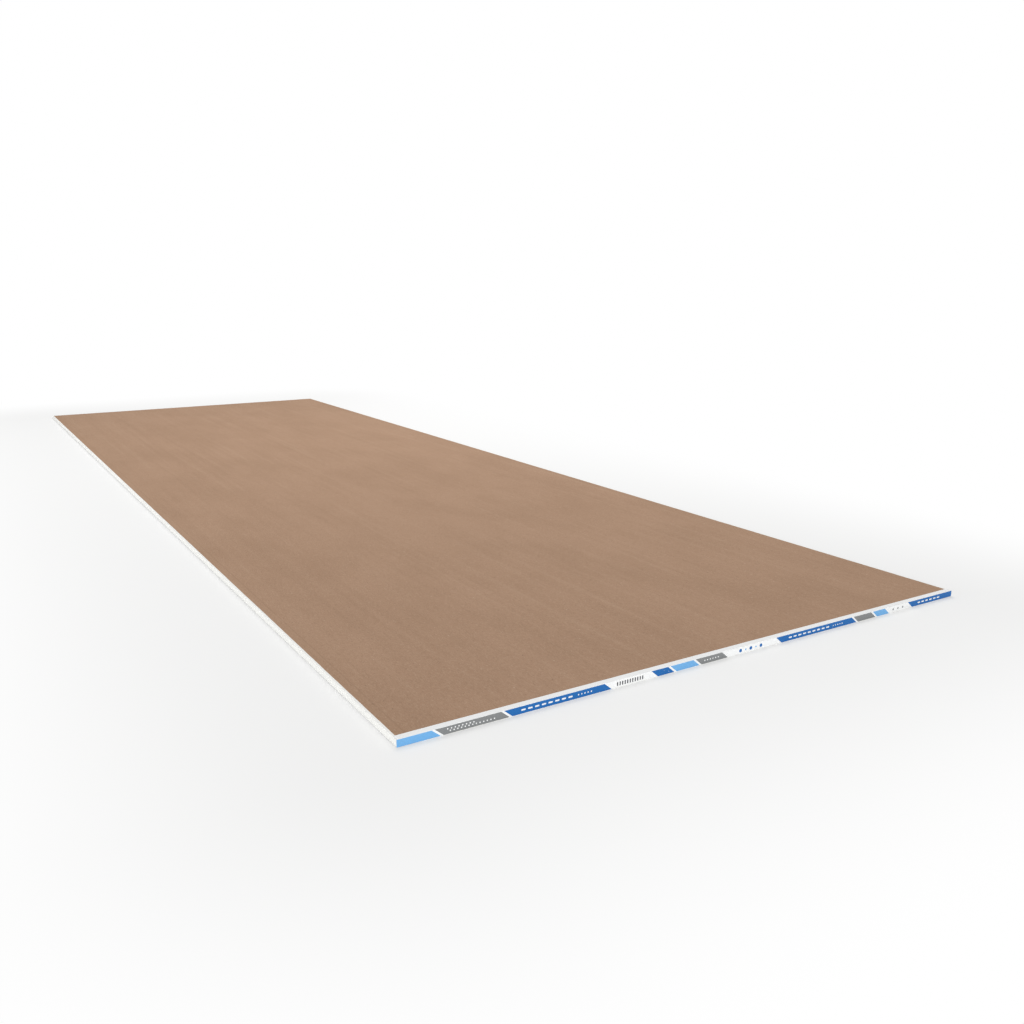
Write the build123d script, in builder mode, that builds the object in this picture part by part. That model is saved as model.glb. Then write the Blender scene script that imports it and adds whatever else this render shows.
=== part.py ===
from build123d import *
import os

# Drywall sheet, lying flat with its brown back side up and its face side down.
# X runs across the sheet, Y along it and Z up. The origin is the middle of the underside.
# All sizes are in millimetres.

# Whole sheet: four feet by twelve feet, half an inch thick with its papers on
sheet_width = 1219.2
sheet_length = 3657.6
sheet_thickness = 12.7

# Long edges: the face side slopes away, which leaves room for joint tape and filler
taper_width = 50.0
taper_depth = 1.2
edge_radius = 1.0

# Papers: the face paper wraps each long edge and turns onto the back,
# where the back paper is laid over it and stops short of the edge
face_paper_thickness = 0.33
back_paper_thickness = 0.3
face_paper_turn = 20.0
back_paper_inset = 4.0

# Printed tape over each cut end, turned onto the back and rubbed down into its paper.
# Its lower edge is cut just above the face side, and it stops just short of the long edges.
tape_thickness = 0.15
tape_bedding = 0.05
tape_turn = 12.5
tape_lower_gap = 0.4
tape_side_gap = 0.5

# Levels and edges that follow from the sizes above
half_width = sheet_width / 2
half_length = sheet_length / 2
back_paper_underside = sheet_thickness - back_paper_thickness
turned_paper_underside = back_paper_underside - face_paper_thickness
turned_paper_edge = half_width - face_paper_turn
back_paper_edge = half_width - back_paper_inset
tape_bed = sheet_thickness - tape_bedding
tape_turn_edge = half_length - tape_turn

os.makedirs("parts", exist_ok=True)


# Section across the sheet up to the underside of the back paper, with both long edges tapered
with BuildSketch(Plane.XZ) as wrapped_section:
    with BuildLine():
        Polyline(
            (-half_width, taper_depth),
            (taper_width - half_width, 0),
            (half_width - taper_width, 0),
            (half_width, taper_depth),
            (half_width, back_paper_underside),
            (-half_width, back_paper_underside),
            close=True,
        )
    make_face()
    corners_across = wrapped_section.vertices().group_by(Axis.X)
    fillet(corners_across[0] + corners_across[-1], edge_radius)

# The same section less the face paper, and raised between the two strips of turned paper
with BuildSketch(Plane.XZ) as core_section:
    add(wrapped_section.sketch_local)
    offset(amount=-face_paper_thickness, mode=Mode.REPLACE)
    with Locations((0, turned_paper_underside)):
        Rectangle(2 * turned_paper_edge, face_paper_thickness, align=(Align.CENTER, Align.MIN))


# Gypsum core, set hard between the two papers
with BuildPart() as gypsum_core:
    with BuildSketch(Plane.XZ):
        add(core_section.sketch_local)
    extrude(amount=half_length, both=True)

# Ivory face paper: under the sheet, up both long edges and turned onto the back
with BuildPart() as face_paper:
    with BuildSketch(Plane.XZ):
        add(wrapped_section.sketch_local)
        add(core_section.sketch_local, mode=Mode.SUBTRACT)
    extrude(amount=half_length, both=True)

# Brown back paper, flat, laid over the turned strips of the face paper and pressed in under the tapes
with BuildPart() as back_paper:
    with BuildSketch(Plane.XY.offset(back_paper_underside)):
        Rectangle(2 * back_paper_edge, sheet_length)
    extrude(amount=back_paper_thickness)
    with BuildSketch(Plane.XY.offset(tape_bed)):
        with Locations((0, -half_length), (0, half_length)):
            Rectangle(2 * back_paper_edge, 2 * tape_turn)
    extrude(amount=tape_bedding, mode=Mode.SUBTRACT)

# Tape over the end that faces the viewer: down the end, and turned onto the back
with BuildPart() as end_tape_near:
    with BuildSketch(Plane.YZ):
        with BuildLine():
            Polyline(
                (-half_length, tape_lower_gap),
                (-half_length, tape_bed),
                (-tape_turn_edge, tape_bed),
                (-tape_turn_edge, tape_bed + tape_thickness),
                (-half_length - tape_thickness, tape_bed + tape_thickness),
                (-half_length - tape_thickness, tape_lower_gap),
                close=True,
            )
        make_face()
    extrude(amount=half_width - tape_side_gap, both=True)

# The same tape over the other end
with BuildPart() as end_tape_far:
    add(end_tape_near.part)
    mirror(about=Plane.XZ, mode=Mode.REPLACE)


pieces = {
    "gypsum_core": gypsum_core,
    "face_paper": face_paper,
    "back_paper": back_paper,
    "end_tape_near": end_tape_near,
    "end_tape_far": end_tape_far,
}

for name, piece in pieces.items():
    piece.part.label = name
    export_step(piece.part, f"parts/{name}.step")
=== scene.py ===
import math

import bpy
import numpy as np
from bpy.props import FloatProperty, FloatVectorProperty, PointerProperty
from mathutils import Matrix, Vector


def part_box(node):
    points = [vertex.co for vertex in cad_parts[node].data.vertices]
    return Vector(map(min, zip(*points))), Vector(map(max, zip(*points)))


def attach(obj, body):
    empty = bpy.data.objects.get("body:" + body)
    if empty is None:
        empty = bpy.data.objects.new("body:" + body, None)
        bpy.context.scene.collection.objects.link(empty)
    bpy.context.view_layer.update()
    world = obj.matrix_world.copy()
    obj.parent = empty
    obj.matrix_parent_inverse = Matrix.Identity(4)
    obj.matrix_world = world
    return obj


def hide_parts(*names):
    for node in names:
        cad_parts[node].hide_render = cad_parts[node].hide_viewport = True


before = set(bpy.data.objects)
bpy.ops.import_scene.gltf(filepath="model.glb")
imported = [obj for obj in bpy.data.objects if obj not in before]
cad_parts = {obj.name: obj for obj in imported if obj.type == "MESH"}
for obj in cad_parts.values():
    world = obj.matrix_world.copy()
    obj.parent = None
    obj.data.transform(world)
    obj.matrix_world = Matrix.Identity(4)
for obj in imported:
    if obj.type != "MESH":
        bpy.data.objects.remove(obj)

bl_info = {
    "name": "Drywall Sheet",
    "version": (1, 0, 0),
    "blender": (4, 5, 0),
    "location": "View3D > Sidebar > Drywall",
    "description": "Papers, gypsum core, end tapes and studio for a drywall sheet that lies back side up",
    "category": "Add Mesh",
}

MM = 0.001

# Where the sheet's pieces lie, read from the frame: X across the sheet, Y along it and Z up. A tape has its
# room outside the end that it covers, and its turn lies on its bed.
CORE_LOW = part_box("gypsum_core")[0]
FACE_LOW, FACE_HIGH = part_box("face_paper")
BACK_LOW, BACK_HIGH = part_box("back_paper")
TAPE_LOW, TAPE_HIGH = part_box("end_tape_near")
HALF_WIDTH = FACE_HIGH.x
HALF_LENGTH = FACE_HIGH.y
FACE_PAPER_THICKNESS = CORE_LOW.z - FACE_LOW.z
TAPE_TURN = TAPE_HIGH.y + HALF_LENGTH
TAPE_ROOM = -HALF_LENGTH - TAPE_LOW.y
TAPE_BED = TAPE_HIGH.z - TAPE_ROOM

# Paper lies this far off what it is glued to, so that no two faces share a plane
GLUE_LINE = 0.008 * MM

# How finely the papers are divided: rows along the sheet, columns across it, the length of a step along a
# folded section, and the steps round each of its arcs
FACE_ROWS = 400
FACE_PITCH = 40 * MM
BACK_ROWS = 320
BACK_COLUMNS = 100
TAPE_COLUMNS = 300
TAPE_PITCH = 0.4 * MM
ARC_STEPS = 10

# Fixed shapes: the rounding at the foot of the taper, the rounding of the tape's fold, and the length over
# which the back paper goes down under a tape
SLOPE_RADIUS = 120 * MM
TAPE_FOLD_RADIUS = 0.25 * MM
PRESS_SLOPE = 1.5 * MM

# Knocks in each long edge, and the share of its wear that they make
KNOCKS = 9
KNOCK_SHARE = 0.65

# Colours as sRGB hex values, matched to the photo
KRAFT = "#B19077"
# Dark kraft stock, also used for the painted shade line over the turned face paper's edge
KRAFT_DARK_AND_STEP_SHADE = "#8C7059"
KRAFT_PALE = "#C6AA91"
BARK_FLECK = "#5E4636"
PALE_FLECK = "#DCC9B4"
IVORY = "#FBFBF8"
# Smudged ivory, also used for the painted shade of the score creases beside the folds
IVORY_SMUDGE_AND_CREASE_SHADE = "#DDD9CF"
GYPSUM = "#DEDBD2"
# Grey of the core's clouds, also used for the painted shade in its pits
GYPSUM_GREY_AND_PORE_SHADE = "#A9A69C"
TAPE_STOCK = "#FAFBFB"
ROYAL_INK = "#206BB3"
SKY_INK = "#76B4E8"
GREY_INK = "#888A8B"
TICK_INK = "#57585A"
FLOOR = "#F8F8F7"

# Bands of the printed tape from the sheet's left, each with its width in millimetres and its ink
TAPE_BANDS = [
    (64, "sky"), (5, "stock"), (112, "grey"), (5, "stock"), (178, "royal"), (92, "stock"),
    (34, "royal"), (5, "stock"), (52, "sky"), (5, "stock"), (58, "grey"), (128, "stock"),
    (196, "royal"), (5, "stock"), (46, "grey"), (5, "stock"), (38, "sky"), (66, "stock"),
    (160, "royal"),
]

# How far a band leans towards the left for each part of its height
TAPE_SLANT = 1.19

# Rows of small marks printed over the bands: from, to, pitch and width of a mark along the tape, its lowest
# and highest level above the underside, all in millimetres, then its squareness and its ink
TAPE_MARKS = [
    (86, 134, 6, 2.2, 7.2, 9.4, 2, "stock"), (86, 164, 6, 2.2, 3.8, 6.0, 2, "stock"),
    (206, 302, 12, 7.5, 5.0, 7.6, 6, "stock"), (308, 338, 6, 2.4, 5.1, 7.5, 2, "stock"),
    (383, 438, 5, 2.5, 3.0, 9.6, 8, "ticks"),
    (564, 600, 6, 2.4, 5.1, 7.5, 2, "stock"),
    (636, 708, 24, 6.4, 3.1, 9.5, 2, "royal"), (648, 696, 24, 3.2, 4.7, 7.9, 2, "sky"),
    (762, 870, 12, 7.5, 5.0, 7.6, 6, "stock"), (876, 906, 6, 2.4, 5.1, 7.5, 2, "stock"),
    (1040, 1082, 14, 4, 4.3, 8.3, 2, "grey"), (1118, 1190, 12, 7.5, 5.0, 7.6, 6, "stock"),
]

# Soft boxes, each with its width, where it hangs and the place that it faces, in metres
SOFT_BOXES = {
    "overhead": (3.2, (0.9, 0.8, 3.4), (0.8, 0.7, 0)),
    "front": (1.4, (-1.4, -5.4, 0.75), (0, -1.8, 0)),
    "left": (2.0, (-6.5, -0.3, 1.05), (-0.6, -0.3, 0)),
}

# The camera's sensor in millimetres, the shift that frames the sheet as in the photo, and how far it sees
SENSOR_WIDTH = 36
LENS_SHIFT = (0.006, 0.0333)
CLIP_END = 300

# Rings of the floor's disc in metres, and points round each
FLOOR_RADII = (0.5, 1, 2, 4, 8, 20, 60, 200)
FLOOR_POINTS = 64

# Sockets of the Mix node when it mixes colours
FACTOR = 0
COLOUR_A = 6
COLOUR_B = 7
MIXED = 2


def linear(text):
    """An sRGB hex colour as linear red, green and blue, by the sRGB transfer curve."""
    channels = np.array([int(text[i:i + 2], 16) for i in (1, 3, 5)]) / 255
    curved = np.where(channels <= 0.04045, channels / 12.92, ((channels + 0.055) / 1.055) ** 2.4)
    return tuple(float(c) for c in curved)


def node(tree, kind, inputs=(), stops=(), **settings):
    """Adds a shader node with its settings, its colour ramp's stops and its inputs.

    The inputs are a list in the order of the node's sockets, or a dictionary by their names or numbers.
    Each is a value, another node's output to link from, or another node, whose first output is linked.
    """
    made = tree.nodes.new("ShaderNode" + kind)
    for name, value in settings.items():
        setattr(made, name, value)
    if stops:
        elements = made.color_ramp.elements
        while len(elements) < len(stops):
            elements.new(1.0)
        for element, (position, colour) in zip(elements, stops):
            element.position = position
            element.color = (*colour, 1.0)
    sockets = inputs if isinstance(inputs, dict) else dict(enumerate(inputs))
    for key, value in sockets.items():
        source = value.outputs[0] if isinstance(value, bpy.types.Node) else value
        if isinstance(source, bpy.types.NodeSocket):
            tree.links.new(source, made.inputs[key])
        else:
            made.inputs[key].default_value = source
    return made


def blank_material(name):
    """An empty node material, its tree, and the place on the object in metres."""
    material = bpy.data.materials.new(name)
    material.use_nodes = True
    tree = material.node_tree
    tree.nodes.clear()
    return material, tree, node(tree, "TexCoord").outputs["Object"]


def overlaid(tree, colour, layers):
    """The colour with inks laid over it in turn, each by its pattern times the most that it covers."""
    for pattern, most, ink in layers:
        amount = node(tree, "Math", [pattern, most], operation="MULTIPLY")
        inputs = {FACTOR: amount, COLOUR_A: colour, COLOUR_B: (*ink, 1)}
        colour = node(tree, "Mix", inputs, data_type="RGBA").outputs[MIXED]
    return colour


def washed(tree, colour, washes):
    """The colour with soft washes of other colours over it in turn.

    A wash covers nothing where its pattern is at the first level and the most where it is at the second,
    and is eased between them.
    """
    for pattern, first, second, most, ink in washes:
        eased = node(tree, "MapRange", [pattern, first, second], interpolation_type="SMOOTHSTEP")
        colour = overlaid(tree, colour, [(eased, most, ink)])
    return colour


def surface(tree, colour, roughness, specular, depth, relief):
    """The finished surface: a principled shader with a bump.

    The height of the bump is its depth in metres times the relief, which is patterns added up, each times
    its part.
    """
    height = 0.0
    for pattern, part in relief:
        height = node(tree, "Math", [pattern, part, height], operation="MULTIPLY_ADD")
    bump = node(tree, "Bump", {"Height": height, "Distance": depth, "Strength": 1.0})
    shader = node(tree, "BsdfPrincipled", {
        "Base Color": colour, "Roughness": roughness, "Specular IOR Level": specular, "Normal": bump,
    })
    node(tree, "OutputMaterial", {"Surface": shader})


def stretched_noise(tree, place, across, along, detail):
    """Noise whose grains are so many metres wide across the sheet and long along it."""
    spread = node(tree, "Mapping", {"Vector": place, "Scale": (1 / across, 1 / along, 1 / across)})
    return node(tree, "TexNoise", {"Vector": spread, "Scale": 1.0, "Detail": detail, "Roughness": 0.6})


def off_line(tree, value, line):
    """How far a value is from a line, to either side."""
    past = node(tree, "Math", [value, line], operation="SUBTRACT")
    return node(tree, "Math", [past], operation="ABSOLUTE")


def flecks(tree, place, pitch, size, share):
    """Sparse specks: in cells of the pitch, a soft-edged spot of the size, in a share of the cells."""
    cells = node(tree, "TexVoronoi", {"Vector": place, "Scale": 1 / pitch}, feature="F1")
    spot_edge = size / pitch
    spot = node(tree, "MapRange", [cells, spot_edge, 0.6 * spot_edge], interpolation_type="SMOOTHSTEP")
    draw = node(tree, "SeparateColor", [cells.outputs["Color"]])
    chosen = node(tree, "Math", [draw, share], operation="LESS_THAN")
    return node(tree, "Math", [spot, chosen], operation="MULTIPLY")


def hairs(tree, place, reach, share):
    """Short curved fibres: 1 on a fibre and 0 off it.

    They are the lines where a noise passes its middle value, kept where a second noise is high.
    """
    line_edge, line_core = 0.014, 0.005
    patch_fade = 0.04
    off_middle = off_line(tree, stretched_noise(tree, place, reach, 1.7 * reach, detail=2), 0.5)
    line = node(tree, "MapRange", [off_middle, line_edge, line_core], interpolation_type="SMOOTHSTEP")
    patches = stretched_noise(tree, place, 0.6 * reach, 0.6 * reach, detail=1)
    kept = node(tree, "MapRange", [patches, 1 - share, 1 - share + patch_fade],
                interpolation_type="SMOOTHSTEP")
    return node(tree, "Math", [line, kept], operation="MULTIPLY")


def kraft_paper(look, sizes):
    """Recycled kraft liner: pulped boxes and newsprint pressed on a roller.

    That gives the eye a matt brown with long faint streaks along the sheet, clouds of lighter and darker
    stock, fibres lying mostly along the roller's way, specks of bark and bleached pulp, and a pale furry
    rim where it was slit. The soft dark line where the paper steps over the edge of the turned face paper
    is painted shade of that step, drawn in the dark kraft colour.
    The fibres are drawn up to a millimetre wide, five times too wide, so that they show.
    """
    material, tree, place = blank_material("recycled_kraft_liner")
    clouds = stretched_noise(tree, place, across=180 * MM, along=320 * MM, detail=4)
    streaks = stretched_noise(tree, place, across=16 * MM, along=900 * MM, detail=3)
    fibres = stretched_noise(tree, place, across=1.1 * MM, along=6 * MM, detail=4)
    cockle = stretched_noise(tree, place, across=26 * MM, along=34 * MM, detail=2)
    bark = flecks(tree, place, pitch=17 * MM, size=1.5 * MM, share=0.4)
    pulp = flecks(tree, place, pitch=23 * MM, size=1.7 * MM, share=0.4)
    pale_hairs = hairs(tree, place, reach=5 * MM, share=0.5)
    dark_hairs = hairs(tree, place, reach=4 * MM, share=0.46)
    off_middle = node(tree, "Math", [node(tree, "SeparateXYZ", [place])], operation="ABSOLUTE")
    off_step = off_line(tree, off_middle, HALF_WIDTH - sizes.paper_turn)
    fray = node(tree, "Math", [fibres, 1.6 * MM], operation="MULTIPLY")
    frayed = node(tree, "Math", [off_middle, fray], operation="ADD")

    bark_brown, pulp_white = linear(BARK_FLECK), linear(PALE_FLECK)
    colour = washed(tree, (*look.kraft, 1), [
        (clouds, 0.35, 0.7, 0.16, look.kraft_dark_and_step_shade),
        (streaks, 0.5, 0.8, 0.18, look.kraft_pale),
        (streaks, 0.5, 0.2, 0.14, look.kraft_dark_and_step_shade),
        (fibres, 0.52, 0.75, 0.55, look.kraft_pale),
        (fibres, 0.48, 0.25, 0.55, look.kraft_dark_and_step_shade),
    ])
    colour = overlaid(tree, colour, [
        (bark, 0.5, bark_brown),
        (pulp, 0.4, pulp_white),
        (pale_hairs, 0.3, pulp_white),
        (dark_hairs, 0.4, bark_brown),
    ])
    colour = washed(tree, colour, [
        # Painted shade: a soft dark line on the step over the turned face paper's edge
        (off_step, 2.2 * MM, 0.2 * MM, 0.22, look.kraft_dark_and_step_shade),
        (frayed, BACK_HIGH.x, BACK_HIGH.x + 0.8 * MM, 0.45, pulp_white),
    ])
    roughness = node(tree, "MapRange", [clouds, 0.3, 0.7, 0.84, 0.94], interpolation_type="SMOOTHSTEP")
    surface(tree, colour, roughness, specular=0.1, depth=0.25 * MM,
            relief=[(fibres, 0.35), (cockle, 0.6), (pale_hairs, 0.05)])
    return material


def ivory_paper(look):
    """Ivory face paper: a bleached top ply over recycled stock, folded round the edge while wet.

    That gives the eye a smooth, nearly white matt skin with faint lengthwise streaks and light grey-brown
    smudges where the edge was handled. A thin darker line beside each fold is painted shade of a score
    crease, which the bump doesn't have. The fibres are drawn nearly a millimetre wide, many times too wide,
    so that they show.
    """
    material, tree, place = blank_material("ivory_face_paper")
    level = node(tree, "SeparateXYZ", [place]).outputs["Z"]
    streaks = stretched_noise(tree, place, across=2.4 * MM, along=420 * MM, detail=3)
    smudges = stretched_noise(tree, place, across=9 * MM, along=120 * MM, detail=5)
    fibres = stretched_noise(tree, place, across=0.8 * MM, along=4 * MM, detail=3)
    off_scores = [off_line(tree, level, score) for score in (FACE_HIGH.z - 2.2 * MM, 4.0 * MM)]
    colour = washed(tree, (*look.ivory, 1), [
        (streaks, 0.4, 0.75, 0.12, look.ivory_smudge_and_crease_shade),
        (smudges, 0.62, 0.82, 0.3, look.ivory_smudge_and_crease_shade),
        (fibres, 0.55, 0.8, 0.15, look.ivory_smudge_and_crease_shade),
        # Painted shade: a thin darker line along a score crease beside each fold, which the bump lacks
        *[(off_score, 0.3 * MM, 0.1 * MM, 0.35, look.ivory_smudge_and_crease_shade) for off_score in off_scores],
    ])
    surface(tree, colour, roughness=0.68, specular=0.3, depth=0.05 * MM,
            relief=[(fibres, 0.4), (streaks, 0.6)])
    return material


def gypsum(look):
    """Foamed gypsum, set and dried: a soft off-white mass of crystals with small round air cells.

    That gives the eye a chalky matt face with pits about a millimetre across and faint grey clouds. The
    pits are sunk by the bump and also drawn darker, which is painted shade in them.
    """
    material, tree, place = blank_material("set_gypsum")
    clouds = stretched_noise(tree, place, across=30 * MM, along=30 * MM, detail=5)
    grain = stretched_noise(tree, place, across=0.5 * MM, along=0.5 * MM, detail=4)
    pores = flecks(tree, place, pitch=2.2 * MM, size=0.9 * MM, share=0.5)
    colour = washed(tree, (*look.gypsum, 1), [(clouds, 0.4, 0.75, 0.2, linear(GYPSUM_GREY_AND_PORE_SHADE))])
    # Painted shade: the pits are drawn darker as well as sunk by the bump
    colour = overlaid(tree, colour, [(pores, 0.6, linear(GYPSUM_GREY_AND_PORE_SHADE))])
    surface(tree, colour, roughness=0.95, specular=0.2, depth=0.3 * MM,
            relief=[(grain, 0.3), (pores, -1.0)])
    return material


def band_stops(inks):
    """The tape's bands as ramp stops: each starts at the share of the width that lies before it."""
    widths = np.array([width for width, ink in TAPE_BANDS])
    starts = np.concatenate([[0], np.cumsum(widths)[:-1]]) / widths.sum()
    return [(float(start), inks[ink]) for start, (width, ink) in zip(starts, TAPE_BANDS)]


def mark_row(tree, from_left, level, first, last, pitch, width, low, high, squareness):
    """A row of upright marks: 1 on a mark and 0 off it.

    A mark is a superellipse. The place along the row is wrapped to one pitch. Its distance from the middle
    of the pitch, and the level's from the middle of the mark, are each divided by half the mark's size and
    raised to the squareness, and their sum is under 1 on the mark. A squareness of 2 gives a round dot, and
    6 or more a bar.
    """
    middle = (low + high) / 2
    along = node(tree, "Math", [from_left, TAPE_SLANT * middle * MM], operation="ADD")
    wrapped = node(tree, "Math", [along, (first + pitch) * MM, first * MM], operation="WRAP")
    aside = off_line(tree, wrapped, (first + pitch / 2) * MM)
    above = off_line(tree, level, middle * MM)
    powers = []
    for distance, reach in ((aside, width / 2 * MM), (above, (high - low) / 2 * MM)):
        share = node(tree, "Math", [distance, reach], operation="DIVIDE")
        powers.append(node(tree, "Math", [share, squareness], operation="POWER"))
    total = node(tree, "Math", powers, operation="ADD")
    on_mark = node(tree, "Math", [total, 1.0], operation="LESS_THAN")
    row_middle, row_reach = (first + last) / 2 * MM, (last - first) / 2 * MM
    in_row = node(tree, "Math", [along, row_middle, row_reach], operation="COMPARE")
    return node(tree, "Math", [on_mark, in_row], operation="MULTIPLY")


def printed_tape(name, look, side):
    """Printed paper tape: white sized stock, flat inks in slanted bands with small marks, a bare turn.

    That gives the eye crisp edges between inks, a slight gloss on the ink, a white line along the arris
    where the bare turn starts, and pinholes and rubbed spots where the stock shows through. The side is -1
    for the tape on the near end and 1 for the far one, and for someone who faces it each runs the same way.
    """
    inks = {ink: tuple(getattr(look, ink)) for ink in ("stock", "royal", "sky", "grey")}
    inks["ticks"] = linear(TICK_INK)
    material, tree, place = blank_material(name)
    axes = node(tree, "SeparateXYZ", [place])
    level = axes.outputs["Z"]
    from_left = node(tree, "Math", [axes.outputs["X"], -side, HALF_WIDTH], operation="MULTIPLY_ADD")
    along = node(tree, "Math", [level, TAPE_SLANT, from_left], operation="MULTIPLY_ADD")
    printed_width = sum(width for width, ink in TAPE_BANDS) * MM
    along_share = node(tree, "Math", [along, printed_width], operation="DIVIDE")
    bands = node(tree, "ValToRGB", [along_share], stops=band_stops(inks))
    bands.color_ramp.interpolation = "CONSTANT"

    rub = stretched_noise(tree, place, across=3 * MM, along=3 * MM, detail=6)
    fibres = stretched_noise(tree, place, across=2 * MM, along=0.6 * MM, detail=3)
    margin = node(tree, "MapRange", [level, TAPE_HIGH.z - 0.5 * MM, TAPE_HIGH.z - 0.3 * MM],
                  interpolation_type="SMOOTHSTEP")
    rubbed = node(tree, "MapRange", [rub, 0.68, 0.74, 0.0, 0.6], interpolation_type="SMOOTHSTEP")
    bare = node(tree, "Math", [margin, rubbed], operation="MAXIMUM")
    marks = [(mark_row(tree, from_left, level, *row), 1.0, inks[ink]) for *row, ink in TAPE_MARKS]
    colour = overlaid(tree, bands.outputs["Color"], [*marks, (bare, 1.0, look.stock)])
    roughness = node(tree, "MapRange", [bare, 0.0, 1.0, 0.45, 0.6], interpolation_type="SMOOTHSTEP")
    surface(tree, colour, roughness, specular=0.25, depth=0.04 * MM, relief=[(fibres, 1.0)])
    return material


def seen_directly(tree):
    """1 for a camera ray, a glossy ray or a ray through a clear surface, and 0 for any other."""
    path = node(tree, "LightPath")
    seen = node(tree, "Math", [path.outputs["Is Camera Ray"], path.outputs["Is Glossy Ray"]],
                operation="MAXIMUM")
    return node(tree, "Math", [seen, path.outputs["Is Transmission Ray"]], operation="MAXIMUM")


def studio_floor(look, settings):
    """A pale matt floor, partly white beside the sheet so that it keeps the shadow, and white far off.

    The distance is that from the sheet's outline: what is left of the place past half the width and half
    the length is taken as a vector, and is its length. The white share grows with that distance, so the
    floor greys towards the sheet whatever the lamps do: a painted halo of shade round it, over the real
    shadow that the matt part keeps.
    """
    material, tree, place = blank_material("pale_studio_floor")
    past = node(tree, "VectorMath", [place], operation="ABSOLUTE")
    past = node(tree, "VectorMath", [past, (HALF_WIDTH, HALF_LENGTH, 0)], operation="SUBTRACT")
    past = node(tree, "VectorMath", [past, (0, 0, 0)], operation="MAXIMUM")
    distance = node(tree, "VectorMath", [past], operation="LENGTH").outputs["Value"]
    # Painted shade: less white near the sheet, so a grey halo surrounds it
    whiteness = node(tree, "MapRange", [distance, 0.0, settings.floor_fade, settings.floor_white, 1.0],
                     interpolation_type="SMOOTHSTEP")
    white_share = node(tree, "Math", [seen_directly(tree), whiteness], operation="MULTIPLY")
    matt = node(tree, "BsdfDiffuse", {"Color": (*look.floor, 1)})
    white = node(tree, "Emission", {"Color": (1, 1, 1, 1), "Strength": 1.0})
    mixed = node(tree, "MixShader", [white_share, matt, white])
    node(tree, "OutputMaterial", {"Surface": mixed})
    return material


def wander(along, lengths, seed):
    """A smooth random line from -1 to 1: sines of the given wavelengths with seeded phases, averaged."""
    phases = np.random.default_rng(seed).uniform(0, 2 * math.pi, len(lengths))
    waves = [np.sin(2 * math.pi * along / length + phase) for length, phase in zip(lengths, phases)]
    return sum(waves) / len(lengths)


def raised_wander(along, lengths, seed):
    """The same line halved and raised, so that it goes from 0 to 1."""
    return 0.5 + 0.5 * wander(along, lengths, seed)


def edge_wear(along, depth, seed):
    """How far the wrapped edge is pressed in along its length: shallow unevenness and a few soft knocks.

    A knock is a bell curve, e to the power of minus the square of the distance over its reach. The highest
    one at a place makes its share of the depth there, and a raised wander makes the rest.
    """
    random = np.random.default_rng(seed)
    places = random.uniform(-HALF_LENGTH, HALF_LENGTH, KNOCKS)
    reaches = random.uniform(6 * MM, 22 * MM, KNOCKS)
    knocks = np.exp(-((along[:, None] - places) / reaches) ** 2).max(axis=1)
    unevenness = raised_wander(along, [0.9, 0.33, 0.12, 0.045], seed)
    return depth * (KNOCK_SHARE * knocks + (1 - KNOCK_SHARE) * unevenness)


def rounded_path(corners, radii, pitch):
    """Points along straight runs joined by tangent arcs, with the unit normal on the left of each.

    An arc of radius r at a corner that turns by an angle starts r * tan(angle / 2) before it, and its
    points go round a centre r to the side of the run. A run is divided into steps of about the pitch.
    """
    corners = np.asarray(corners, float)
    runs = np.diff(corners, axis=0)
    ways = runs / np.linalg.norm(runs, axis=1, keepdims=True)
    lefts = np.stack([-ways[:, 1], ways[:, 0]], axis=1)
    next_ways = [*ways[1:], ways[-1]]
    points = []
    normals = []
    start = corners[0]
    for corner, radius, way, left, following in zip(corners[1:], [*radii, 0.0], ways, lefts, next_ways):
        turn = math.atan2(way[0] * following[1] - way[1] * following[0], way @ following)
        end = corner - way * radius * math.tan(abs(turn) / 2)
        steps = max(2, math.ceil(np.linalg.norm(end - start) / pitch))
        line = start + (end - start) * np.linspace(0, 1, steps + 1)[:, None]
        points.append(line[:-1] if radius else line)
        normals.append(np.broadcast_to(left, points[-1].shape))
        if radius:
            side = math.copysign(1.0, turn)
            centre = end + side * left * radius
            angles = turn * np.linspace(0, 1, ARC_STEPS + 1)[:-1, None]
            spoke = -side * (left * np.cos(angles) + np.array([-left[1], left[0]]) * np.sin(angles))
            points.append(centre + radius * spoke)
            normals.append(-side * spoke)
            start = centre - side * radius * np.array([-following[1], following[0]])
    return np.concatenate(points), np.concatenate(normals)


def paper_piece(name, outer, inner, material):
    """A closed sheet of paper between two grids of points, each rows by columns by 3.

    The outer grid's faces keep their winding, the inner grid's are turned over, and a strip of faces along
    each border joins them, so that the paper has its thickness and no open edge.
    """
    rows, columns = outer.shape[:2]
    count = rows * columns
    index = np.arange(count).reshape(rows, columns)
    cells = np.stack([index[:-1, :-1], index[:-1, 1:], index[1:, 1:], index[1:, :-1]], axis=-1)
    cells = cells.reshape(-1, 4)
    rim = np.concatenate([index[0, :-1], index[:-1, -1], index[-1, :0:-1], index[:0:-1, 0]])
    beside = np.roll(rim, -1)
    walls = np.stack([beside, rim, rim + count, beside + count], axis=-1)
    faces = np.concatenate([cells, cells[:, ::-1] + count, walls])
    points = np.concatenate([outer.reshape(-1, 3), inner.reshape(-1, 3)])

    mesh = bpy.data.meshes.new(name)
    mesh.from_pydata(points.tolist(), [], faces.tolist())
    mesh.shade_smooth()
    mesh.set_sharp_from_angle(angle=math.radians(40))
    mesh.materials.append(material)
    piece = bpy.data.objects.new(name, mesh)
    bpy.context.scene.collection.objects.link(piece)
    return piece


def take_place(piece, cad_node):
    """The piece stands for the solid of that name, which is hidden, and moves with the sheet."""
    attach(piece, "root")
    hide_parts(cad_node)


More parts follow.
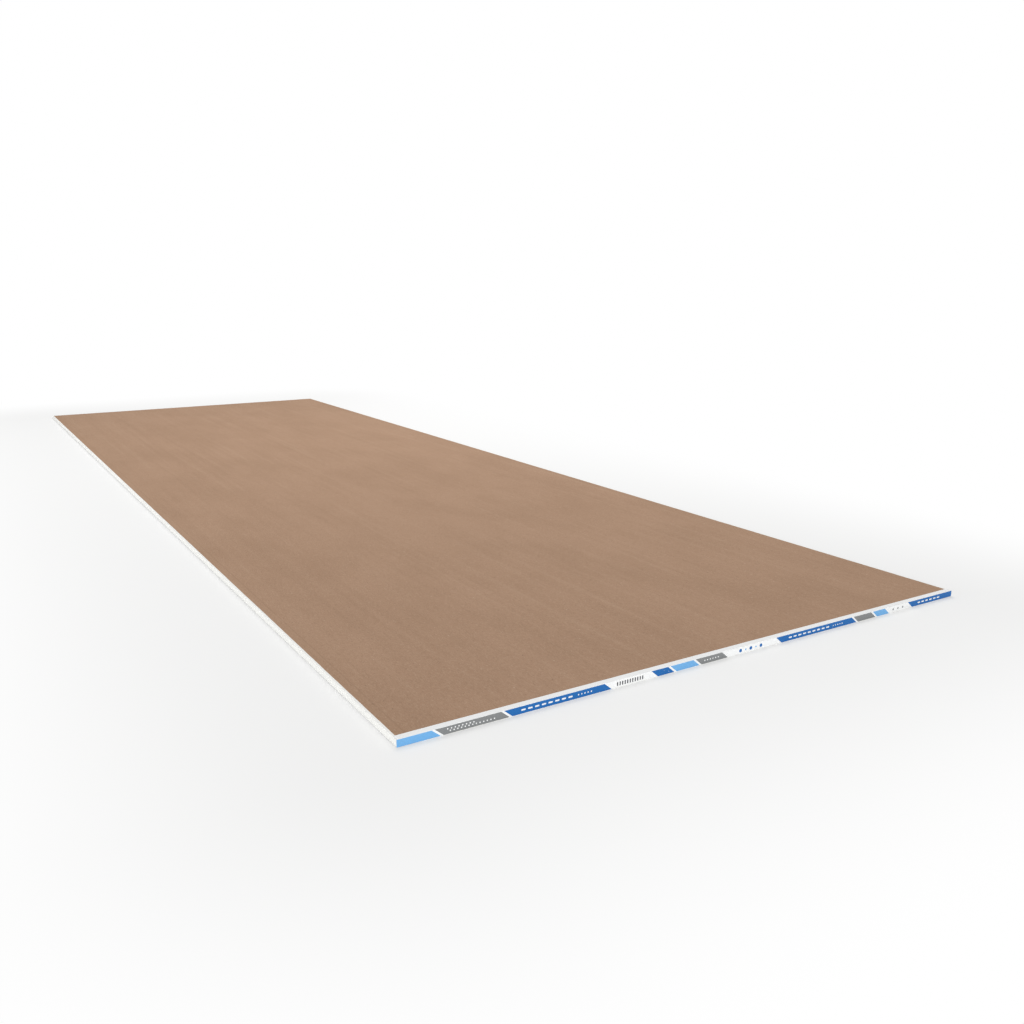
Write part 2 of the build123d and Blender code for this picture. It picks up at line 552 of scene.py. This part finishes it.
class SheetSizes(bpy.types.PropertyGroup):
    """Sizes of the papers' shapes that the solids' boxes don't give."""
    taper_width: FloatProperty(
        name="Taper width", description="Width of the slope beside each long edge",
        default=50 * MM, unit="LENGTH")
    taper_depth: FloatProperty(
        name="Taper depth", description="How much thinner the long edge is than the field",
        default=1.2 * MM, unit="LENGTH")
    edge_radius: FloatProperty(
        name="Edge radius", description="Rounding of the paper where it wraps the edge",
        default=1.0 * MM, unit="LENGTH")
    paper_turn: FloatProperty(
        name="Paper turn", description="How far the face paper is turned onto the back",
        default=20 * MM, unit="LENGTH")
    fold_groove: FloatProperty(
        name="Fold groove", description="Depth of the line over the turned paper's edge",
        default=0.07 * MM, unit="LENGTH")
    knock_depth: FloatProperty(
        name="Knock depth", description="Deepest knock in a wrapped edge",
        default=0.22 * MM, unit="LENGTH")
    slit_wander: FloatProperty(
        name="Slit wander", description="How far the back paper's slit edges stray inwards",
        default=0.7 * MM, unit="LENGTH")
    cockle: FloatProperty(
        name="Cockle", description="Depth of the shallow waves in the back paper",
        default=0.05 * MM, unit="LENGTH")
    tape_thickness: FloatProperty(
        name="Tape thickness", description="Thickness of the end tape's paper",
        default=0.09 * MM, unit="LENGTH")
    tape_ripple: FloatProperty(
        name="Tape ripple", description="How far the tape stands off its end in places",
        default=0.04 * MM, unit="LENGTH")
    tape_lean: FloatProperty(
        name="Tape lean",
        description="How far the tape's lower edge leans in for each part of its free height",
        default=0.6)


class SheetLook(bpy.types.PropertyGroup):
    """Colours of the sheet and the floor, as linear values."""
    kraft: FloatVectorProperty(
        name="Kraft", description="Brown of the back paper", subtype="COLOR", default=linear(KRAFT))
    # Also the colour of the painted shade line over the turned face paper's edge
    kraft_dark_and_step_shade: FloatVectorProperty(
        name="Kraft, dark", description="Darker stock in the back paper", subtype="COLOR",
        default=linear(KRAFT_DARK_AND_STEP_SHADE))
    kraft_pale: FloatVectorProperty(
        name="Kraft, pale", description="Paler stock in the back paper", subtype="COLOR",
        default=linear(KRAFT_PALE))
    ivory: FloatVectorProperty(
        name="Ivory", description="Face paper", subtype="COLOR", default=linear(IVORY))
    # Also the colour of the painted shade lines beside the folds
    ivory_smudge_and_crease_shade: FloatVectorProperty(
        name="Ivory, smudged", description="Face paper where it is handled", subtype="COLOR",
        default=linear(IVORY_SMUDGE_AND_CREASE_SHADE))
    gypsum: FloatVectorProperty(
        name="Gypsum", description="Set core", subtype="COLOR", default=linear(GYPSUM))
    stock: FloatVectorProperty(
        name="Tape stock", description="Bare paper of the end tape", subtype="COLOR",
        default=linear(TAPE_STOCK))
    royal: FloatVectorProperty(
        name="Royal ink", description="Widest bands of the end tape", subtype="COLOR",
        default=linear(ROYAL_INK))
    sky: FloatVectorProperty(
        name="Sky ink", description="Light blue bands of the end tape", subtype="COLOR",
        default=linear(SKY_INK))
    grey: FloatVectorProperty(
        name="Grey ink", description="Grey bands of the end tape", subtype="COLOR",
        default=linear(GREY_INK))
    floor: FloatVectorProperty(
        name="Floor", description="Studio floor", subtype="COLOR", default=linear(FLOOR))


class StudioSettings(bpy.types.PropertyGroup):
    """Where the camera stands and how bright the studio is."""
    camera_left: FloatProperty(
        name="Camera left", description="How far the camera stands left of the sheet's edge",
        default=0.477, unit="LENGTH")
    camera_back: FloatProperty(
        name="Camera back", description="How far the camera stands before the near end",
        default=1.067, unit="LENGTH")
    camera_height: FloatProperty(
        name="Camera height", description="Height of the camera above the floor",
        default=0.615, unit="LENGTH")
    camera_turn: FloatProperty(
        name="Camera turn", description="Turn to the right of the sheet's length",
        default=math.radians(31.4), subtype="ANGLE")
    camera_tilt: FloatProperty(
        name="Camera tilt", description="Tilt below the horizon",
        default=math.radians(15.87), subtype="ANGLE")
    lens: FloatProperty(
        name="Lens", description="Focal length in millimetres", default=33.23, unit="CAMERA")
    ambient: FloatProperty(
        name="Ambient", description="Strength of the light from all round", default=0.46)
    overhead: FloatProperty(
        name="Overhead", description="Power of the soft box over the far half",
        default=78.0, unit="POWER")
    front: FloatProperty(
        name="Front", description="Power of the low soft box before the near end",
        default=66.0, unit="POWER")
    left: FloatProperty(
        name="Left", description="Power of the low soft box left of the sheet",
        default=102.0, unit="POWER")
    floor_white: FloatProperty(
        name="Floor white", description="Share of plain white in the floor beside the sheet",
        default=0.42, min=0, max=1, subtype="FACTOR")
    floor_fade: FloatProperty(
        name="Floor fade", description="Distance from the sheet at which the floor is white",
        default=0.65, unit="LENGTH")


class DRYWALL_OT_core(bpy.types.Operator):
    """Give the gypsum core its finish"""
    bl_idname = "drywall.core"
    bl_label = "Gypsum core"

    def execute(self, context):
        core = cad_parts["gypsum_core"]
        core.data.materials.clear()
        core.data.materials.append(gypsum(context.scene.drywall_look))
        return {"FINISHED"}


class DRYWALL_OT_face_paper(bpy.types.Operator):
    """Wrap the face paper round the underside and both long edges"""
    bl_idname = "drywall.face_paper"
    bl_label = "Face paper"

    def execute(self, context):
        """The wrapped section, carried along the sheet and pressed in by the wear where it goes up an edge.

        The right half of the section is given, and the left half is its mirror image in reverse.
        """
        sizes = context.scene.drywall_sizes
        turned_edge = HALF_WIDTH - sizes.paper_turn
        slope_edge = HALF_WIDTH - sizes.taper_width
        right = [(turned_edge, FACE_HIGH.z), (HALF_WIDTH, FACE_HIGH.z), (HALF_WIDTH, sizes.taper_depth),
                 (slope_edge, 0)]
        left = [(-x, z) for x, z in reversed(right)]
        radii = [sizes.edge_radius, sizes.edge_radius, SLOPE_RADIUS]
        profile, normals = rounded_path(right + left, radii + radii[::-1], FACE_PITCH)
        along = np.linspace(-HALF_LENGTH, HALF_LENGTH, FACE_ROWS)
        wear_start = HALF_WIDTH - 2 * MM
        wear_fade = 1 * MM
        on_edge = np.clip((np.abs(profile[:, 0]) - wear_start) / wear_fade, 0, 1)
        right_wear = edge_wear(along, sizes.knock_depth, seed=4)[:, None]
        left_wear = edge_wear(along, sizes.knock_depth, seed=9)[:, None]
        wear = np.where(profile[:, 0] > 0, right_wear, left_wear)
        pressed = (on_edge * wear)[..., None]
        spread = np.broadcast_to(along[:, None], pressed.shape[:2])

        def grid(section):
            return np.stack([section[..., 0], spread, section[..., 1]], axis=-1)

        outer = grid(profile - normals * pressed)
        inner_side = profile - normals * (FACE_PAPER_THICKNESS - GLUE_LINE)
        inner = grid(np.broadcast_to(inner_side, (len(along), *profile.shape)))
        material = ivory_paper(context.scene.drywall_look)
        paper = paper_piece("face_paper_wrap", outer, inner, material)
        take_place(paper, "face_paper")
        return {"FINISHED"}


class DRYWALL_OT_back_paper(bpy.types.Operator):
    """Lay the back paper over the core and the turned strips of the face paper"""
    bl_idname = "drywall.back_paper"
    bl_label = "Back paper"

    def execute(self, context):
        """A flat grid between the two slit edges, which stray inwards.

        Its top is lowered by the cockle, a product of two slanted wanders, by a bell-shaped groove along
        the turned paper's edge on each side, and down to the tape's bed under each tape.
        """
        sizes = context.scene.drywall_sizes
        under_tape = HALF_LENGTH - TAPE_TURN
        end_rows = np.append(under_tape + np.linspace(0, PRESS_SLOPE, 5)[1:], HALF_LENGTH)
        field_rows = np.linspace(-under_tape, under_tape, BACK_ROWS)
        along = np.concatenate([-end_rows[::-1], field_rows, end_rows])
        fold_edge = HALF_WIDTH - sizes.paper_turn
        beside_fold = (fold_edge + np.linspace(-3, 3, 13) * MM) / BACK_HIGH.x
        across = np.sort(np.concatenate([np.linspace(-1, 1, BACK_COLUMNS), beside_fold, -beside_fold]))
        right = BACK_HIGH.x - sizes.slit_wander * raised_wander(along, [0.7, 0.21, 0.08, 0.03], seed=21)
        left = BACK_HIGH.x - sizes.slit_wander * raised_wander(along, [0.6, 0.25, 0.09, 0.04], seed=22)
        x = np.where(across > 0, across * right[:, None], across * left[:, None])
        y = np.broadcast_to(along[:, None], x.shape)

        waves = wander(x + 0.35 * y, [0.19, 0.083, 0.041], seed=31)
        waves = waves * wander(y - 0.2 * x, [0.27, 0.11, 0.052], seed=32)
        groove_reach = 1.2 * MM
        groove = np.exp(-((np.abs(x) - fold_edge) / groove_reach) ** 2)
        top = BACK_HIGH.z - sizes.cockle * (0.5 + 0.5 * waves) - sizes.fold_groove * groove
        pressed = np.clip((np.abs(y) - under_tape) / PRESS_SLOPE, 0, 1)
        top = top + (TAPE_BED - GLUE_LINE - top) * pressed
        outer = np.stack([x, y, top], axis=-1)
        inner = np.stack([x, y, np.full_like(x, BACK_LOW.z + GLUE_LINE)], axis=-1)
        material = kraft_paper(context.scene.drywall_look, sizes)
        paper = paper_piece("back_paper_liner", outer, inner, material)
        take_place(paper, "back_paper")
        return {"FINISHED"}


class DRYWALL_OT_end_tapes(bpy.types.Operator):
    """Fold a printed tape over each end and onto the back"""
    bl_idname = "drywall.end_tapes"
    bl_label = "End tapes"

    def execute(self, context):
        for side, cad_node, seed in ((-1, "end_tape_near", 51), (1, "end_tape_far", 61)):
            material = printed_tape(f"printed_paper_{cad_node}", context.scene.drywall_look, side)
            tape = self.folded(context.scene.drywall_sizes, side, cad_node, seed, material)
            take_place(tape, cad_node)
        return {"FINISHED"}

    def folded(self, sizes, side, cad_node, seed, material):
        """The tape's section, up the end and in over the back, carried across the width.

        The section's first number is how far in from the end it lies. Its lower edge strays upwards and its
        turned edge outwards. Below the slope of a taper it hangs free and leans in, and past the back
        paper's slit edge it steps down onto the face paper.
        """
        section = [(0, TAPE_LOW.z), (0, TAPE_BED), (TAPE_TURN, TAPE_BED)]
        path, normals = rounded_path(section, [TAPE_FOLD_RADIUS], TAPE_PITCH)
        inward, level = path[:, 0], path[:, 1]
        beside_slit = BACK_HIGH.x + np.linspace(-0.4, 0.8, 7) * MM
        columns = np.linspace(-TAPE_HIGH.x, TAPE_HIGH.x, TAPE_COLUMNS)
        across = side * np.sort(np.concatenate([columns, beside_slit, -beside_slit]))
        off_middle = np.abs(across)[:, None]

        low_stray = 0.3 * MM
        turned_stray = 0.4 * MM
        blend_height = 2 * MM
        slope_clearance = 0.1 * MM
        stray = raised_wander(across, [0.35, 0.12, 0.04, 0.011], seed)[:, None]
        low_part = np.clip(1 - (level - TAPE_LOW.z) / blend_height, 0, 1) * (inward < MM)
        top_part = np.clip(1 - (TAPE_BED - level) / blend_height, 0, 1)
        turned_part = np.clip((inward - TAPE_TURN / 2) / (TAPE_TURN / 2), 0, 1)
        past_slit = np.clip((off_middle - beside_slit[0]) / (beside_slit[-1] - beside_slit[0]), 0, 1)
        base_up = level + low_stray * stray * low_part - (TAPE_BED - FACE_HIGH.z) * past_slit * top_part
        slope_share = np.clip((off_middle - HALF_WIDTH + sizes.taper_width) / sizes.taper_width, 0, 1)
        free = np.clip(sizes.taper_depth * slope_share - slope_clearance - base_up, 0, None)
        base_in = inward - turned_stray * stray * turned_part + sizes.tape_lean * free
        x = np.broadcast_to(across[:, None], base_in.shape)
        ripple = raised_wander(across, [0.23, 0.09, 0.031], seed + 1)[:, None]
        lift = GLUE_LINE + sizes.tape_ripple * ripple

        def grid(off):
            return np.stack([x, side * (HALF_LENGTH - base_in - normals[:, 0] * off),
                             base_up + normals[:, 1] * off], axis=-1)

        outer = grid(lift + sizes.tape_thickness)
        return paper_piece(cad_node + "_strip", outer, grid(lift), material)


class DRYWALL_OT_studio(bpy.types.Operator):
    """Set up the floor, the lights, the white surroundings and the camera"""
    bl_idname = "drywall.studio"
    bl_label = "Studio"

    def execute(self, context):
        settings = context.scene.drywall_studio
        self.floor(studio_floor(context.scene.drywall_look, settings))
        self.surroundings(context.scene, settings)
        for name, (size, place, target) in SOFT_BOXES.items():
            self.soft_box(name + "_box", getattr(settings, name), size, place, target)
        self.camera(context.scene, settings)
        context.scene.view_settings.view_transform = "Standard"
        return {"FINISHED"}

    def floor(self, material):
        """A disc: rings at growing radii, turned round the middle."""
        radii = np.array(FLOOR_RADII)
        angles = np.linspace(0, 2 * math.pi, FLOOR_POINTS, endpoint=False)
        ring = np.stack([np.cos(angles), np.sin(angles), np.zeros_like(angles)], axis=-1)
        points = np.concatenate([[[0, 0, 0]], (radii[:, None, None] * ring).reshape(-1, 3)])
        index = 1 + np.arange(radii.size * angles.size).reshape(radii.size, angles.size)
        beside = np.roll(index, -1, axis=1)
        bands = np.stack([index[:-1], index[1:], beside[1:], beside[:-1]], axis=-1).reshape(-1, 4)
        middle = np.stack([np.zeros_like(index[0]), index[0], beside[0]], axis=-1)
        mesh = bpy.data.meshes.new("studio_floor")
        mesh.from_pydata(points.tolist(), [], bands.tolist() + middle.tolist())
        mesh.materials.append(material)
        floor = bpy.data.objects.new("studio_floor", mesh)
        bpy.context.scene.collection.objects.link(floor)

    def surroundings(self, scene, settings):
        """Even light from all round, which the camera and clear or glossy surfaces see as plain white."""
        world = bpy.data.worlds.new("white_studio")
        world.use_nodes = True
        tree = world.node_tree
        tree.nodes.clear()
        light = node(tree, "Background", {"Color": (1, 1, 1, 1), "Strength": settings.ambient})
        white = node(tree, "Background", {"Color": (1, 1, 1, 1), "Strength": 1.0})
        mixed = node(tree, "MixShader", [seen_directly(tree), light, white])
        node(tree, "OutputWorld", {"Surface": mixed})
        scene.world = world

    def soft_box(self, name, power, size, place, target):
        """A square soft light at a place, facing a target."""
        light = bpy.data.lights.new(name, "AREA")
        light.energy = power
        light.size = size
        box = bpy.data.objects.new(name, light)
        box.location = place
        box.rotation_euler = (Vector(target) - Vector(place)).to_track_quat("-Z", "Y").to_euler()
        bpy.context.scene.collection.objects.link(box)

    def camera(self, scene, settings):
        """The camera before the near left corner, looking along the sheet to its right."""
        data = bpy.data.cameras.new("camera")
        data.sensor_width = SENSOR_WIDTH
        data.lens = settings.lens
        data.shift_x, data.shift_y = LENS_SHIFT
        data.clip_end = CLIP_END
        camera = bpy.data.objects.new("camera", data)
        camera.location = (-HALF_WIDTH - settings.camera_left, -HALF_LENGTH - settings.camera_back,
                           settings.camera_height)
        turn, tilt = settings.camera_turn, settings.camera_tilt
        way = Vector((math.sin(turn) * math.cos(tilt), math.cos(turn) * math.cos(tilt), -math.sin(tilt)))
        camera.rotation_euler = way.to_track_quat("-Z", "Y").to_euler()
        scene.collection.objects.link(camera)
        scene.camera = camera


class DRYWALL_PT_panel(bpy.types.Panel):
    """The sheet's sizes, colours and steps"""
    bl_idname = "DRYWALL_PT_panel"
    bl_label = "Drywall sheet"
    bl_space_type = "VIEW_3D"
    bl_region_type = "UI"
    bl_category = "Drywall"

    def draw(self, context):
        for title, (name, group) in GROUPS.items():
            box = self.layout.box()
            box.label(text=title)
            for setting in group.__annotations__:
                box.prop(getattr(context.scene, name), setting)
        for step in STEPS:
            self.layout.operator(step.bl_idname)


GROUPS = {
    "Sizes": ("drywall_sizes", SheetSizes),
    "Colours": ("drywall_look", SheetLook),
    "Studio": ("drywall_studio", StudioSettings),
}
STEPS = (
    DRYWALL_OT_core, DRYWALL_OT_face_paper, DRYWALL_OT_back_paper, DRYWALL_OT_end_tapes,
    DRYWALL_OT_studio,
)


def register():
    for name, group in GROUPS.values():
        bpy.utils.register_class(group)
        setattr(bpy.types.Scene, name, PointerProperty(type=group))
    for step in STEPS:
        bpy.utils.register_class(step)
    bpy.utils.register_class(DRYWALL_PT_panel)


def unregister():
    bpy.utils.unregister_class(DRYWALL_PT_panel)
    for step in reversed(STEPS):
        bpy.utils.unregister_class(step)
    for name, group in reversed(GROUPS.values()):
        delattr(bpy.types.Scene, name)
        bpy.utils.unregister_class(group)


def main():
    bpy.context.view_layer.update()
    register()
    bpy.ops.drywall.core()
    bpy.ops.drywall.face_paper()
    bpy.ops.drywall.back_paper()
    bpy.ops.drywall.end_tapes()
    bpy.ops.drywall.studio()


if __name__ == "__main__":
    main()
